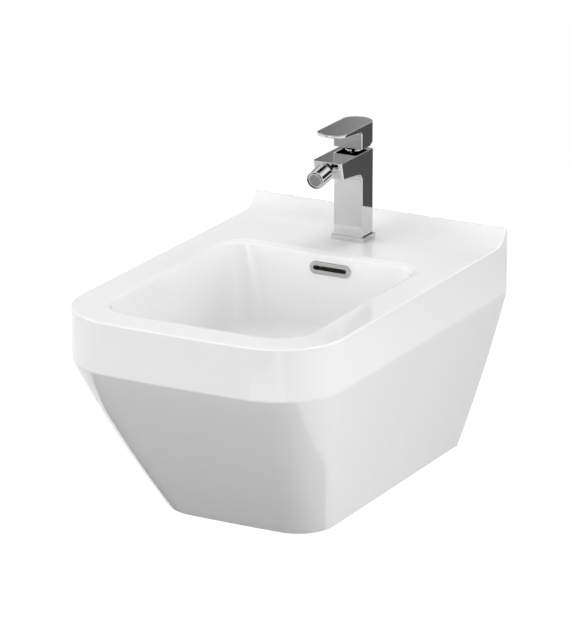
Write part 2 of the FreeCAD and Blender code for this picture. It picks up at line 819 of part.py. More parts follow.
def grub_screw():
    screw = rod(grub_r, grub_point(), Y_AXIS, grub_length)
    head = grub_point() + Y_AXIS * grub_length
    key = hexagon(grub_key, V(0, 0, 0), grub_length / 2)
    key.Placement = FreeCAD.Placement(head, FreeCAD.Rotation(Z_AXIS, Y_AXIS * -1))
    return at_tap(screw.cut(key))


def screw_cap():
    tail = handle_rear + handle_tail
    cap = rod(cap_r, V(0, tail - cap_length, grub_z), Y_AXIS, cap_length)
    return at_tap(cap.common(handle_block()))


def socket_ring():
    """Ring screwed into the spout's face: holds the ball, flares in front for the neck."""
    inner = ball_r + ball_clear
    lip_depth = math.sqrt(inner ** 2 - ring_mouth_r ** 2)
    front = ball_depth + ring_proud
    profile = [(inner, 0), (socket_r, 0), (socket_r, ball_depth), (ring_flange_r, ball_depth),
               (ring_flange_r, front), (ring_flare_r, front), (ring_mouth_r, lip_depth)]
    corners = [V(r, 0, h) for r, h in profile]
    half_angle = math.asin(lip_depth / inner) / 2
    middle = V(inner * math.cos(half_angle), 0, inner * math.sin(half_angle))
    edges = [Part.LineSegment(a, b).toShape() for a, b in zip(corners, corners[1:])]
    edges.append(Part.Arc(corners[-1], middle, corners[0]).toShape())
    ring = Part.Face(Part.Wire(edges)).revolve(V(0, 0, 0), Z_AXIS, 360)
    ring.Placement = FreeCAD.Placement(ball_centre(), FreeCAD.Rotation(Z_AXIS, face_frame()[1]))
    return at_tap(ring)


def ball_seat():
    """Friction seat behind the ball, free to turn in the socket."""
    seat = rod(ball_seat_r, V(0, 0, -ball_seat_front), DOWN, ball_seat_length)
    seat = seat.cut(Part.makeSphere(ball_r + ball_clear))
    seat.Placement = FreeCAD.Placement(ball_centre(), FreeCAD.Rotation(Z_AXIS, face_frame()[1]))
    return at_tap(seat)


def swivel_ball():
    back = spray_end - spray_length
    ball = Part.makeSphere(ball_r).fuse(rod(neck_r, V(0, 0, 0), Z_AXIS, back))
    ball = ball.cut(rod(ball_bore_r, V(0, 0, -ball_r), Z_AXIS, 2 * spray_end))
    ball.Placement = FreeCAD.Placement(ball_centre(), FreeCAD.Rotation(Z_AXIS, spray_direction()))
    return at_tap(ball)


def aerator_housing():
    axis = spray_direction()
    back = ball_centre() + axis * (spray_end - spray_length)
    cup = rod(spray_r, V(0, 0, 0), Z_AXIS, spray_length)
    cup = cup.makeFillet(spray_edge, [e for e in cup.Edges if e.BoundBox.ZLength < spray_edge])
    cup = cup.cut(rod(spray_r - spray_wall, V(0, 0, spray_back), Z_AXIS, spray_length))
    cup = cup.cut(rod(ball_bore_r, V(0, 0, 0), Z_AXIS, spray_length))
    cup.Placement = FreeCAD.Placement(back, FreeCAD.Rotation(Z_AXIS, axis))
    return at_tap(cup)


def insert_foot():
    """Foot of the aerator's insert, measured from the ball centre along the spray."""
    return spray_end - insert_sink - insert_length


def on_insert(shape):
    """Puts a shape made on the XY plane on the insert's foot, Z along the spray."""
    axis = spray_direction()
    shape.Placement = FreeCAD.Placement(ball_centre() + axis * insert_foot(), FreeCAD.Rotation(Z_AXIS, axis))
    return at_tap(shape)


def screen_foot():
    """Seat of the screen, measured from the insert's foot."""
    return insert_length - screen_sink - screen_height


def mesh_points():
    """Middles of the holes in the screen, ring by ring."""
    points = [V(0, 0, 0)]
    for ring in range(1, mesh_rings + 1):
        count = mesh_step * ring
        radius = mesh_pitch * ring
        turns = [2 * math.pi * index / count for index in range(count)]
        points.extend(V(radius * math.cos(turn), radius * math.sin(turn), 0) for turn in turns)
    return points


def aerator_insert():
    """Holder in the spray's mouth: a collar round the screen and a groove outside it."""
    outer = spray_r - spray_wall
    insert = tube(outer, insert_bore_r, V(0, 0, 0), Z_AXIS, insert_length)
    insert = insert.cut(rod(screen_r, V(0, 0, screen_foot()), Z_AXIS, insert_length))
    groove = tube(outer, collar_r, V(0, 0, insert_length - groove_depth), Z_AXIS, groove_depth)
    return on_insert(insert.cut(groove))


def aerator_screen():
    screen = rod(screen_r, V(0, 0, screen_foot()), Z_AXIS, screen_height)
    for point in mesh_points():
        screen = screen.cut(rod(mesh_hole_r, point, Z_AXIS, insert_length))
    return on_insert(screen)


def aerator_washer():
    axis = spray_direction()
    start = ball_centre() + axis * insert_foot()
    return at_tap(tube(spray_r - spray_wall, washer_bore_r, start, axis * -1, washer_height))


def waste_body():
    low = channel_z - lower_seal - lock_nut_height - tail_length
    inner = tube_r - tube_wall
    body = rod(tube_r, V(0, 0, low), Z_AXIS, flange_z - low)
    body = body.fuse(rod(flange_r, V(0, 0, flange_z - flange_thickness), Z_AXIS, flange_thickness))
    body = body.cut(rod(inner, V(0, 0, low), Z_AXIS, flange_z - low))
    body = body.cut(Part.makeCone(inner, inner + tube_wall, tube_wall, V(0, 0, flange_z - tube_wall)))
    level = bowl_z - channel_height
    port_low = level + overflow_port_margin
    port_top = level + channel_height - overflow_port_margin
    body = body.cut(box(-2 * tube_r, 2 * tube_r, -bridge_width, bridge_width, port_low, port_top))
    relief = V(0, 0, low + tail_length - relief_width)
    body = body.cut(tube(tube_r + relief_depth, tube_r - relief_depth, relief, Z_AXIS, relief_width))
    top = flange_z - bridge_drop
    half = bridge_width / 2
    bar = box(0, inner + tube_wall / 2, -half, half, top - bridge_height, top)
    for index in range(bridge_arms):
        body = body.fuse(bar.rotated(V(0, 0, 0), Z_AXIS, bridge_turn + 360 * index / bridge_arms))
    hole = rod(plug_stem_r + slide_clear, V(0, 0, top - 2 * bridge_height), Z_AXIS, 4 * bridge_height)
    return at_waste(body.cut(hole).removeSplitter())


def waste_upper_seal():
    return at_waste(tube(flange_r, tube_r, V(0, 0, floor_z - flange_sink), Z_AXIS, waste_seal))


def waste_lower_seal():
    return at_waste(tube(lower_seal_r, tube_r, V(0, 0, channel_z - lower_seal), Z_AXIS, lower_seal))


def waste_lock_nut():
    low = channel_z - lower_seal - lock_nut_height
    nut = hexagon(lock_nut_flats, V(0, 0, low), lock_nut_height)
    return at_waste(nut.cut(rod(tube_r, V(0, 0, low), Z_AXIS, lock_nut_height)))


def click_cartridge():
    """Catch that holds the plug up or down, standing on the waste's bridge."""
    low = flange_z - bridge_drop
    height = bridge_drop + plug_gap - plug_hub_height - slide_clear
    body = rod(click_r, V(0, 0, low), Z_AXIS, height)
    return at_waste(body.cut(rod(plug_stem_r + slide_clear, V(0, 0, low), Z_AXIS, height)))


def plug_low_z():
    """Underside of the plug, standing open."""
    return flange_z + plug_gap + plug_travel


def plug_stem():
    low = flange_z - bridge_drop
    hub = plug_low_z() - plug_hub_height
    stem = rod(plug_stem_r, V(0, 0, low), Z_AXIS, plug_low_z() - low)
    return at_waste(stem.fuse(rod(plug_hub_r, V(0, 0, hub), Z_AXIS, plug_hub_height)))


def plug_cap():
    low = plug_low_z()
    edge = V(plug_r, 0, low + plug_thickness - plug_crown)
    crown_r = (plug_r ** 2 + plug_crown ** 2) / (2 * plug_crown)
    half_angle = math.asin(plug_r / crown_r) / 2
    peak = V(0, 0, low + plug_thickness)
    middle = V(crown_r * math.sin(half_angle), 0, peak.z - crown_r * (1 - math.cos(half_angle)))
    edges = [Part.LineSegment(V(0, 0, low), V(plug_r, 0, low)).toShape(),
             Part.LineSegment(V(plug_r, 0, low), edge).toShape(),
             Part.Arc(edge, middle, peak).toShape(),
             Part.LineSegment(peak, V(0, 0, low)).toShape()]
    return at_waste(Part.Face(Part.Wire(edges)).revolve(V(0, 0, 0), Z_AXIS, 360))


def plug_seal():
    low = plug_low_z() - plug_hub_height
    return at_waste(tube(plug_seal_r, plug_hub_r, V(0, 0, low), Z_AXIS, plug_hub_height))


PIECES = [
    ceramic_body, overflow_trim, fixing_sleeves,
    mixer_body, base_plate, base_gasket, mounting_stud, clamp_gasket, clamp_plate, clamp_nut,
    cartridge_housing, cartridge_seals, fixed_disc, moving_disc, disc_driver, cartridge_rotor, lever_pin,
    cartridge_stem, cartridge_nut, dome_ring,
    handle, grub_screw, screw_cap,
    socket_ring, ball_seat, swivel_ball, aerator_housing, aerator_insert, aerator_screen, aerator_washer,
    waste_body, waste_upper_seal, waste_lower_seal, waste_lock_nut,
    click_cartridge, plug_stem, plug_cap, plug_seal,
]

os.makedirs("parts", exist_ok=True)
for piece in PIECES:
    piece().exportStep("parts/" + piece.__name__ + ".step")
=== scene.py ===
"""Looks of a wall-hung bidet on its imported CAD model: glazed body, chromed mixer, overflow and waste.

The bidet's sizes are in millimetres and the studio's in metres, all in the CAD frame: +Z up, the wall at
Y = 0, the front at -Y, +X on the right of someone facing it.
"""

import json
import logging
import math
from collections.abc import Sequence
from dataclasses import dataclass
from enum import Enum

import bmesh
import bpy
from mathutils import Matrix, Vector
from mathutils.bvhtree import BVHTree


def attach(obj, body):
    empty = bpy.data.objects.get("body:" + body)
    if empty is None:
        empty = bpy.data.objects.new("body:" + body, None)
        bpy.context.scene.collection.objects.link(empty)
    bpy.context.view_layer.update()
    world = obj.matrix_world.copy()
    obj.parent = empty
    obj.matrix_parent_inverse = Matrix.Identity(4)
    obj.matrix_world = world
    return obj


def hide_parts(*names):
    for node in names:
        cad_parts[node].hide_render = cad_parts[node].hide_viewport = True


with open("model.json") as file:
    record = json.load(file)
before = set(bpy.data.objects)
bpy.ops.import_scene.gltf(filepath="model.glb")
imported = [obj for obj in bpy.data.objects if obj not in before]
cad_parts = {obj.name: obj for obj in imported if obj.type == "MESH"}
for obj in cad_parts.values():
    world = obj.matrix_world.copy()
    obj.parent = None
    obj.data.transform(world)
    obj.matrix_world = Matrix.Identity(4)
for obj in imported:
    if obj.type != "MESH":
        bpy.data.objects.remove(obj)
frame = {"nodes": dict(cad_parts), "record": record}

LOG = logging.getLogger("bidet")
MM = 0.001
IMAGE_HEIGHT_PX = 630

Point = tuple[float, float, float]
Ring = list[bmesh.types.BMVert]


def linear(colour: str) -> tuple[float, float, float, float]:
    """Turns an sRGB hex colour into linear light, by the curve of the sRGB standard.

    Args:
        colour: Hex digits with a leading hash, such as "#f2f2f0".

    Returns:
        Linear red, green and blue with an alpha of 1.
    """
    channels = [int(colour[i:i + 2], 16) / 255 for i in (1, 3, 5)]
    red, green, blue = [c / 12.92 if c <= 0.04045 else ((c + 0.055) / 1.055) ** 2.4 for c in channels]
    return red, green, blue, 1.0


def add_node(
    tree: bpy.types.NodeTree,
    kind: str,
    inputs: dict[str | int, object] | None = None,
    **settings: object,
) -> bpy.types.Node:
    """Adds a node with its settings and its input values or links.

    Args:
        tree: Node tree that gets the node.
        kind: Blender's class name of the node.
        inputs: Input name or index to a value, or to the output socket that feeds it.
        **settings: Properties of the node.

    Returns:
        The new node.
    """
    node = tree.nodes.new(kind)
    for name, value in settings.items():
        setattr(node, name, value)
    for key, value in (inputs or {}).items():
        if isinstance(value, bpy.types.NodeSocket):
            tree.links.new(value, node.inputs[key])
        else:
            node.inputs[key].default_value = value
    return node


def empty_tree(owner: bpy.types.ID) -> bpy.types.NodeTree:
    """Turns on the nodes of a material or world and takes out the default ones.

    Args:
        owner: Material or world.

    Returns:
        Its node tree, empty.
    """
    owner.use_nodes = True
    owner.node_tree.nodes.clear()
    return owner.node_tree


class Pattern(Enum):
    """Surface pattern of a finish: the texture node that draws it and that node's inputs."""

    GLAZE = ("ShaderNodeTexNoise", {"Detail": 2.0, "Roughness": 0.4})
    POLISH = ("ShaderNodeTexNoise", {"Detail": 6.0, "Roughness": 0.65, "Distortion": 0.6})
    MOULDED = ("ShaderNodeTexNoise", {"Detail": 8.0, "Roughness": 0.7})
    TURNED = ("ShaderNodeTexWave", {"Distortion": 1.2, "Detail": 3.0})
    SPANGLE = ("ShaderNodeTexVoronoi", {"Randomness": 1.0})


@dataclass(frozen=True)
class Finish:
    """One real material with the way its surface was made.

    Attributes:
        name: Common name of the material and its surface.
        slot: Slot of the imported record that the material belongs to.
        colour: Main colour.
        shade: Colour that the pattern fades to.
        roughness: Roughness in the pattern's lows.
        haze: Roughness added in the pattern's highs.
        grain: Size of one feature of the pattern in millimetres.
        relief: Height of the pattern in millimetres.
        pattern: Which pattern the surface has.
        metallic: 1 for a metal, 0 for anything else.
    """

    name: str
    slot: str
    colour: str
    shade: str
    roughness: float
    haze: float
    grain: float
    relief: float
    pattern: Pattern
    metallic: float = 0.0

    def material(self) -> bpy.types.Material:
        """Builds the finish's material on its first use.

        Returns:
            The material, the same one each time.
        """
        found = bpy.data.materials.get(self.name)
        if found:
            return found
        made = bpy.data.materials.new(self.name)
        tree = empty_tree(made)
        kind, inputs = self.pattern.value
        place = add_node(tree, "ShaderNodeTexCoord").outputs["Object"]
        texture = add_node(tree, kind, {"Vector": place, "Scale": 1 / (self.grain * MM), **inputs})
        height = texture.outputs["Fac"] if "Fac" in texture.outputs else texture.outputs["Distance"]
        tint = add_node(tree, "ShaderNodeMix", {"Factor": height}, data_type="RGBA")
        first, last = [socket for socket in tint.inputs if socket.type == "RGBA"]
        first.default_value = linear(self.colour)
        last.default_value = linear(self.shade)
        colour = next(socket for socket in tint.outputs if socket.type == "RGBA")
        rough = add_node(tree, "ShaderNodeMapRange", {
            "Value": height, "To Min": self.roughness, "To Max": self.roughness + self.haze})
        bump = add_node(tree, "ShaderNodeBump", {
            "Height": height, "Strength": 1.0, "Distance": self.relief * MM})
        shader = add_node(tree, "ShaderNodeBsdfPrincipled", {
            "Base Color": colour, "Roughness": rough.outputs["Result"], "Normal": bump.outputs["Normal"],
            "Metallic": self.metallic})
        add_node(tree, "ShaderNodeOutputMaterial", {"Surface": shader.outputs["BSDF"]})
        return made


# Vitreous china under a clear glaze: a deep gloss whose mirrored shapes bend a little where the glaze ran.
GLAZED_CHINA = Finish(
    "glazed vitreous china", "white_glaze", colour="#e9e9e9", shade="#e7e7e7",
    roughness=0.0, haze=0.02, grain=45.0, relief=0.01, pattern=Pattern.GLAZE)
# Fired china without glaze, a dull warm grey darkened as painted shade: the hollow inside, wall side,
# underside.
FIRED_CHINA_WITH_PAINTED_SHADE = Finish(
    "unglazed vitreous china with painted shade", "white_glaze", colour="#b9b3a9", shade="#a9a399",
    roughness=0.7, haze=0.15, grain=2.0, relief=0.03, pattern=Pattern.MOULDED)
# Brass castings, buffed and chromium plated: a mirror with a faint buffing haze.
POLISHED_CHROME = Finish(
    "polished chrome plate", "chrome", colour="#dadada", shade="#d6d6d6",
    roughness=0.02, haze=0.02, grain=6.0, relief=0.0005, pattern=Pattern.POLISH, metallic=1.0)
# Brass stampings under a satin chromium plate, a soft blurred mirror: the overflow's ring.
SATIN_CHROME = Finish(
    "satin chrome plate", "chrome", colour="#c6c6c6", shade="#bebebe",
    roughness=0.16, haze=0.06, grain=0.6, relief=0.001, pattern=Pattern.POLISH, metallic=1.0)
# Zinc-plated steel: a soft spangled grey.
ZINC_PLATE = Finish(
    "zinc plated steel", "plain_steel", colour="#b4b5b2", shade="#9c9e9c",
    roughness=0.3, haze=0.15, grain=1.5, relief=0.01, pattern=Pattern.SPANGLE, metallic=1.0)
# Stainless steel drawn into wire: pale grey with fine die marks.
DRAWN_STAINLESS = Finish(
    "drawn stainless steel wire", "plain_steel", colour="#c4c4c4", shade="#b0b0b0",
    roughness=0.3, haze=0.1, grain=0.2, relief=0.002, pattern=Pattern.TURNED, metallic=1.0)
# Machined brass: turning rings, drawn coarser than a lathe leaves them so that they show.
TURNED_BRASS = Finish(
    "machined brass", "brass", colour="#d2ad6a", shade="#b8904f",
    roughness=0.22, haze=0.12, grain=0.8, relief=0.01, pattern=Pattern.TURNED, metallic=1.0)
# Moulded EPDM seals: dull black with a dusty bloom.
SEAL_RUBBER = Finish(
    "moulded EPDM rubber", "rubber", colour="#1b1b1b", shade="#2a2a2a",
    roughness=0.55, haze=0.2, grain=1.2, relief=0.02, pattern=Pattern.MOULDED)
# Injection-moulded acetal, natural white with a soft sheen: sleeves, ball seat and click cartridge.
WHITE_ACETAL = Finish(
    "moulded white acetal", "white_plastic", colour="#ecebe6", shade="#e0dfd9",
    roughness=0.35, haze=0.15, grain=0.9, relief=0.01, pattern=Pattern.MOULDED)
# Injection-moulded acetal, grey with a soft sheen: cartridge pieces and the cap of the handle's screw.
GREY_ACETAL = Finish(
    "moulded grey acetal", "grey_plastic", colour="#9a9a9a", shade="#868686",
    roughness=0.4, haze=0.15, grain=0.7, relief=0.01, pattern=Pattern.MOULDED)
# Injection-moulded acetal, black with a smooth sheen: the ball of the spray's joint.
BLACK_ACETAL = Finish(
    "moulded black acetal", "black_plastic", colour="#161616", shade="#1e1e1e",
    roughness=0.3, haze=0.1, grain=0.7, relief=0.005, pattern=Pattern.MOULDED)
# Lapped alumina discs: matt off-white with a fine grind.
LAPPED_ALUMINA = Finish(
    "lapped alumina", "disc_ceramic", colour="#efece4", shade="#e4e0d6",
    roughness=0.25, haze=0.1, grain=0.6, relief=0.004, pattern=Pattern.SPANGLE)

SLOT_FINISHES = {finish.slot: finish for finish in (
    GLAZED_CHINA, POLISHED_CHROME, ZINC_PLATE, TURNED_BRASS, SEAL_RUBBER, WHITE_ACETAL, GREY_ACETAL,
    BLACK_ACETAL, LAPPED_ALUMINA)}


def body_of(node: str) -> str:
    """Returns the name of the CAD body that carries a node."""
    bodies = frame["record"]["behaviour"]["bodies"]
    return next(body for body, nodes in bodies.items() if node in nodes)


def dress(piece: bpy.types.Object, finish: Finish, *nodes: str) -> bpy.types.Object:
    """Puts a new piece in the place of CAD nodes of one body and gives it a finish.

    Args:
        piece: Finished mesh object at the origin.
        finish: Finish of the piece; its material is added unless the mesh already has one.
        *nodes: CAD nodes that the piece stands for.

    Returns:
        The same piece.
    """
    if not piece.data.materials:
        piece.data.materials.append(finish.material())
    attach(piece, body_of(nodes[0]))
    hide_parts(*nodes)
    return piece


def new_piece(name: str, mesh: bpy.types.Mesh) -> bpy.types.Object:
    """Makes an object for a mesh and links it to the scene.

    Args:
        name: Name of the object.
        mesh: Its mesh.

    Returns:
        The new object.
    """
    piece = bpy.data.objects.new(name, mesh)
    bpy.context.scene.collection.objects.link(piece)
    return piece


def plain_mesh(piece: bpy.types.Object) -> bpy.types.Object:
    """Turns a piece with modifiers into a plain mesh.

    Args:
        piece: Mesh object with modifiers.

    Returns:
        The same object with the modifiers' result as its mesh.
    """
    graph = bpy.context.evaluated_depsgraph_get()
    mesh = bpy.data.meshes.new_from_object(piece.evaluated_get(graph))
    piece.modifiers.clear()
    piece.data = mesh
    return piece


def soften(mesh: bmesh.types.BMesh, angle: float) -> None:
    """Shades a mesh smooth, apart from its open and its sharp edges.

    Args:
        mesh: Mesh to shade.
        angle: Turn in degrees from which an edge is sharp.
    """
    limit = math.radians(angle)
    for face in mesh.faces:
        face.smooth = True
    for edge in mesh.edges:
        edge.smooth = edge.is_manifold and edge.calc_face_angle(math.pi) < limit


def welded(node: str) -> bmesh.types.BMesh:
    """Copies a CAD node's mesh and joins its faces along their edges.

    Args:
        node: Name of the CAD node.

    Returns:
        The joined copy.
    """
    weld = 0.002  # points this close are one
    skin = bmesh.new()
    skin.from_mesh(frame["nodes"][node].data)
    bmesh.ops.remove_doubles(skin, verts=skin.verts, dist=weld * MM)
    skin.normal_update()
    return skin


def polished_copy(node: str) -> bpy.types.Object:
    """Copies a CAD node into one joined skin whose rounded edges shade evenly into its flats.

    Args:
        node: Name of the CAD node.

    Returns:
        New object named after the node.
    """
    sharp_turn = 40.0
    flats_first = 80  # weight of large faces in the shading
    skin = welded(node)
    soften(skin, sharp_turn)
    mesh = bpy.data.meshes.new(node + "_skin")
    skin.to_mesh(mesh)
    skin.free()
    piece = new_piece(node + "_skin", mesh)
    even = piece.modifiers.new("even shading", "WEIGHTED_NORMAL")
    even.keep_sharp = True
    even.weight = flats_first
    return plain_mesh(piece)


class Skin:
    """Surface that grows from rings of points."""

    def __init__(self) -> None:
        """Starts an empty surface."""
        self.mesh = bmesh.new()

    def ring(self, points: Sequence[Vector]) -> Ring:
        """Adds a ring of points in millimetres and returns its vertices."""
        return [self.mesh.verts.new(point * MM) for point in points]

    def strip(self, first: Ring, second: Ring, closed: bool, opening: int | None = None) -> None:
        """Joins two rings with faces.

        Args:
            first: Ring on the left of the direction of travel, seen from outside.
            second: Ring on the right.
            closed: Whether the last point joins the first.
            opening: Index of a face that is left open, if any.
        """
        count = len(first)
        for i in range(count if closed else count - 1):
            if i != opening:
                j = (i + 1) % count
                self.mesh.faces.new((first[i], first[j], second[j], second[i]))

    def fill(self, loops: Sequence[Ring], normal: Vector) -> None:
        """Fills a flat region between closed loops.

        Args:
            loops: Outer loop and holes; points that are already joined keep their edge.
            normal: Way that the region faces.
        """
        edges = []
        for loop in loops:
            for a, b in zip(loop, loop[1:] + loop[:1]):
                edges.append(self.mesh.edges.get((a, b)) or self.mesh.edges.new((a, b)))
        made = bmesh.ops.triangle_fill(self.mesh, use_beauty=True, edges=edges, normal=normal)
        for face in made["geom"]:
            if isinstance(face, bmesh.types.BMFace):
                face.normal_update()
                if face.normal.dot(normal) < 0:
                    face.normal_flip()


def rounded(start: Vector, corner: Vector, end: Vector, radius: float, steps: int) -> list[Vector]:
    """Rounds the corner of a line from start over corner to end.

    Args:
        start: Point on the way in.
        corner: Corner to round.
        end: Point on the way out.
        radius: Radius of the round.
        steps: Pieces of the round.

    Returns:
        Points of the arc, from the way in to the way out.
    """
    to_start = (start - corner).normalized()
    to_end = (end - corner).normalized()
    half = to_start.angle(to_end) / 2
    bisector = (to_start + to_end).normalized()
    centre = corner + bisector * (radius / math.sin(half))
    first = corner + to_start * (radius / math.tan(half)) - centre
    last = corner + to_end * (radius / math.tan(half)) - centre
    sweep = first.angle(last)
    points = []
    for i in range(steps + 1):
        turned = sweep * i / steps
        spoke = (first * math.sin(sweep - turned) + last * math.sin(turned)) / math.sin(sweep)
        points.append(centre + spoke)
    return points


def level_arc(centre: Vector, radius: float, start: float, end: float, steps: int) -> list[Vector]:
    """Returns points of a level arc between two angles, in radians from +X."""
    angles = [start + (end - start) * i / steps for i in range(steps + 1)]
    return [centre + radius * Vector((math.cos(angle), math.sin(angle), 0)) for angle in angles]


def toward(azimuth: float, elevation: float) -> Vector:
    """Gives a direction.

    Args:
        azimuth: Degrees from the front towards +X.
        elevation: Degrees above the horizon.

    Returns:
        Unit vector of the direction.
    """
    turn = math.radians(azimuth)
    tip = math.radians(elevation)
    return Vector((math.sin(turn) * math.cos(tip), -math.cos(turn) * math.cos(tip), math.sin(tip)))


@dataclass
class GlazedBody:
    """Ceramic casting: tapered skirt, upright band, deck with a raised lip, and basin.

    Its glazed faces follow from the sizes below, and its other faces are the CAD's. A corner is a radius of
    the plan, an edge is a radius of the section, and a slope is in degrees from upright.
    """

    rim: float = 80.0  # height of the rim in the frame
    width: float = 355.0
    depth: float = 520.0
    height: float = 279.0  # from the underside to the rim
    band: float = 64.0  # height of the upright band below the rim
    corner: float = 85.0
    bow: float = 2300.0  # plan radius of the front
    base_width: float = 222.0
    base_depth: float = 380.0
    base_corner: float = 49.0
    belly: float = 0.16  # share of the taper that grows with the square of the way down
    base_edge: float = 3.0
    rim_edge: float = 2.0
    band_turn: float = 2.0  # half height of the turn from the band to the skirt
    lip_height: float = 19.0
    lip_top: float = 3.0  # level top of the lip, from the wall
    lip_run: float = 31.0  # from the wall to the foot of the lip's hollow sweep
    lip_crest: float = 1.5  # radius between the level top and the sweep
    opening_width: float = 267.0
    front_rim: float = 46.0
    rear_deck: float = 150.0
    opening_front_corner: float = 46.0
    opening_back_corner: float = 34.0
    opening_edge: float = 5.0
    rear_edge: float = 2.5
    roll_start: float = 6.0  # flat deck ends this far from the opening's edge
    roll_run: float = 8.0  # and this much further behind the rear edge
    roll_drop: float = 1.5  # fall of the deck to the rear edge
    basin: float = 112.0  # depth of the basin below the rim
    side_slope: float = 15.0
    front_slope: float = 22.0
    back_slope: float = 8.0
    floor_corner: float = 44.0
    floor_fillet: float = 26.0
    overflow_x: float = 10.5
    overflow_drop: float = 18.0  # down the rear wall from the rim
    overflow_hole: tuple[float, float] = (50.0, 9.5)  # length and height
    tap_hole: tuple[float, float] = (-72.5, 15.0)  # Y and radius
    waste_hole: tuple[float, float] = (-262.0, 32.5)  # Y and radius
    margin: float = 1.0  # flat strip beside each rounded edge, so that flats shade flat
    corner_steps: int = 20
    edge_steps: int = 6
    lip_steps: int = 18
    side_steps: int = 8
    front_steps: int = 16
    skirt_steps: int = 16

    def lip_profile(self) -> list[tuple[float, float]]:
        """Draws the lip's section.

        Returns:
            Points (Y, height above the deck) from the wall to the foot of the hollow sweep.
        """
        run = self.lip_run - self.lip_top
        sweep = (run ** 2 + self.lip_height ** 2) / (2 * self.lip_height)
        turn = math.atan2(run, sweep - self.lip_height)
        turns = [turn * i / self.lip_steps for i in range(self.lip_steps, -1, -1)]
        arc = [Vector((sweep * math.sin(t) - self.lip_run, sweep * (1 - math.cos(t)), 0)) for t in turns]
        wall = Vector((0, self.lip_height, 0))
        crest = rounded(wall, arc[0], arc[1], self.lip_crest, self.edge_steps)
        below = [p for p in arc[1:] if p.y < crest[-1].y - self.lip_crest / self.edge_steps]
        return [(p.x, p.y) for p in (wall, *crest, *below)]

    def front_arcs(self, half: float, depth: float, corner: float) -> list[Vector]:
        """Draws the front of a plan: right corner, bowed front and left corner.

        Args:
            half: Half width.
            depth: Depth from the wall.
            corner: Radius of the corners.

        Returns:
            Points from the end of the right side to the end of the left side.
        """
        bow = Vector((0, self.bow - depth, 0))
        centre_x = half - corner
        centre = Vector((centre_x, bow.y - math.sqrt((self.bow - corner) ** 2 - centre_x ** 2), 0))
        spread = math.atan2(centre_x, bow.y - centre.y)
        ahead = -math.pi / 2
        right = level_arc(centre, corner, 0.0, ahead + spread, self.corner_steps)
        front = level_arc(bow, self.bow, ahead + spread, ahead - spread, self.front_steps)
        left = [Vector((-p.x, p.y, 0)) for p in reversed(right)]
        return right + front[1:-1] + left

    def outline(self, half: float, depth: float, corner: float, z: float, lift: float) -> list[Vector]:
        """Draws one ring of the outer skin.

        Args:
            half: Half width.
            depth: Depth from the wall.
            corner: Plan radius of the front corners.
            z: Height.
            lift: Share of the lip's height that the ring follows.

        Returns:
            Points from the right end at the wall round the front to the left end.
        """
        front = self.front_arcs(half, depth, corner)
        lip = self.lip_profile()
        foot = lip[-1][0]
        stations = [foot + (front[0].y - foot) * i / self.side_steps for i in range(1, self.side_steps)]
        side = [Vector((half, y, z + rise * lift)) for y, rise in lip]
        side += [Vector((half, y, z)) for y in stations]
        ring = side + [Vector((p.x, p.y, z)) for p in front]
        return ring + [Vector((-p.x, p.y, p.z)) for p in reversed(side)]

    def skirt_ring(self, z: float, inset: float) -> list[Vector]:
        """Draws the outer ring at a height on the band or the skirt.

        The turn from the band to the skirt is a parabola, whose end has the slope of the taper.

        Args:
            z: Height.
            inset: How far the ring is drawn in.

        Returns:
            Points of the ring.
        """
        top = self.rim - self.band
        low = self.rim - self.height
        start = top + self.band_turn
        drop = start - z
        span = top - low
        if drop <= 0:
            grown = 0.0
        elif drop < 2 * self.band_turn:
            grown = (1 - self.belly) / span * drop ** 2 / (4 * self.band_turn)
        else:
            down = (top - z) / span
            grown = (1 - self.belly) * down + self.belly * down ** 2
        half = (self.width + grown * (self.base_width - self.width)) / 2 - inset
        depth = self.depth + grown * (self.base_depth - self.depth) - inset
        corner = self.corner + grown * (self.base_corner - self.corner) - inset
        return self.outline(half, depth, corner, z, 0.0)

    def rim_ring(self, z: float, inset: float) -> list[Vector]:
        """Returns a ring at the rim that follows the lip, drawn in by an inset."""
        return self.outline(self.width / 2 - inset, self.depth - inset, self.corner - inset, z, 1.0)

    def outer_rings(self) -> list[list[Vector]]:
        """Draws the outer skin.

        Returns:
            Rings from the underside up to the deck's flat.
        """
        low = self.rim - self.height
        top = self.rim - self.band
        quarter = [math.pi / 2 * i / self.edge_steps for i in range(self.edge_steps + 1)]
        rings = []
        for turn in quarter:
            rise = self.base_edge * (1 - math.cos(turn))
            rings.append(self.skirt_ring(low + rise, self.base_edge * (1 - math.sin(turn))))
        first = low + self.base_edge
        last = top - self.band_turn
        step = (last - first) / self.skirt_steps
        rings += [self.skirt_ring(first + step * i, 0.0) for i in range(1, self.skirt_steps + 1)]
        step = 2 * self.band_turn / self.edge_steps
        rings += [self.skirt_ring(last + step * i, 0.0) for i in range(1, self.edge_steps + 1)]
        rings.append(self.skirt_ring(top + self.band_turn + self.margin, 0.0))
        edge = self.rim - self.rim_edge
        rings.append(self.rim_ring(edge - self.margin, 0.0))
        for turn in quarter:
            rise = self.rim_edge * math.sin(turn)
            rings.append(self.rim_ring(edge + rise, self.rim_edge * (1 - math.cos(turn))))
        rings.append(self.rim_ring(self.rim, self.rim_edge + self.margin))
        return rings

    def corner_turns(self) -> list[float]:
        """Returns the angles at which the basin's four corners start."""
        return [-math.pi / 2 * corner for corner in range(4)]

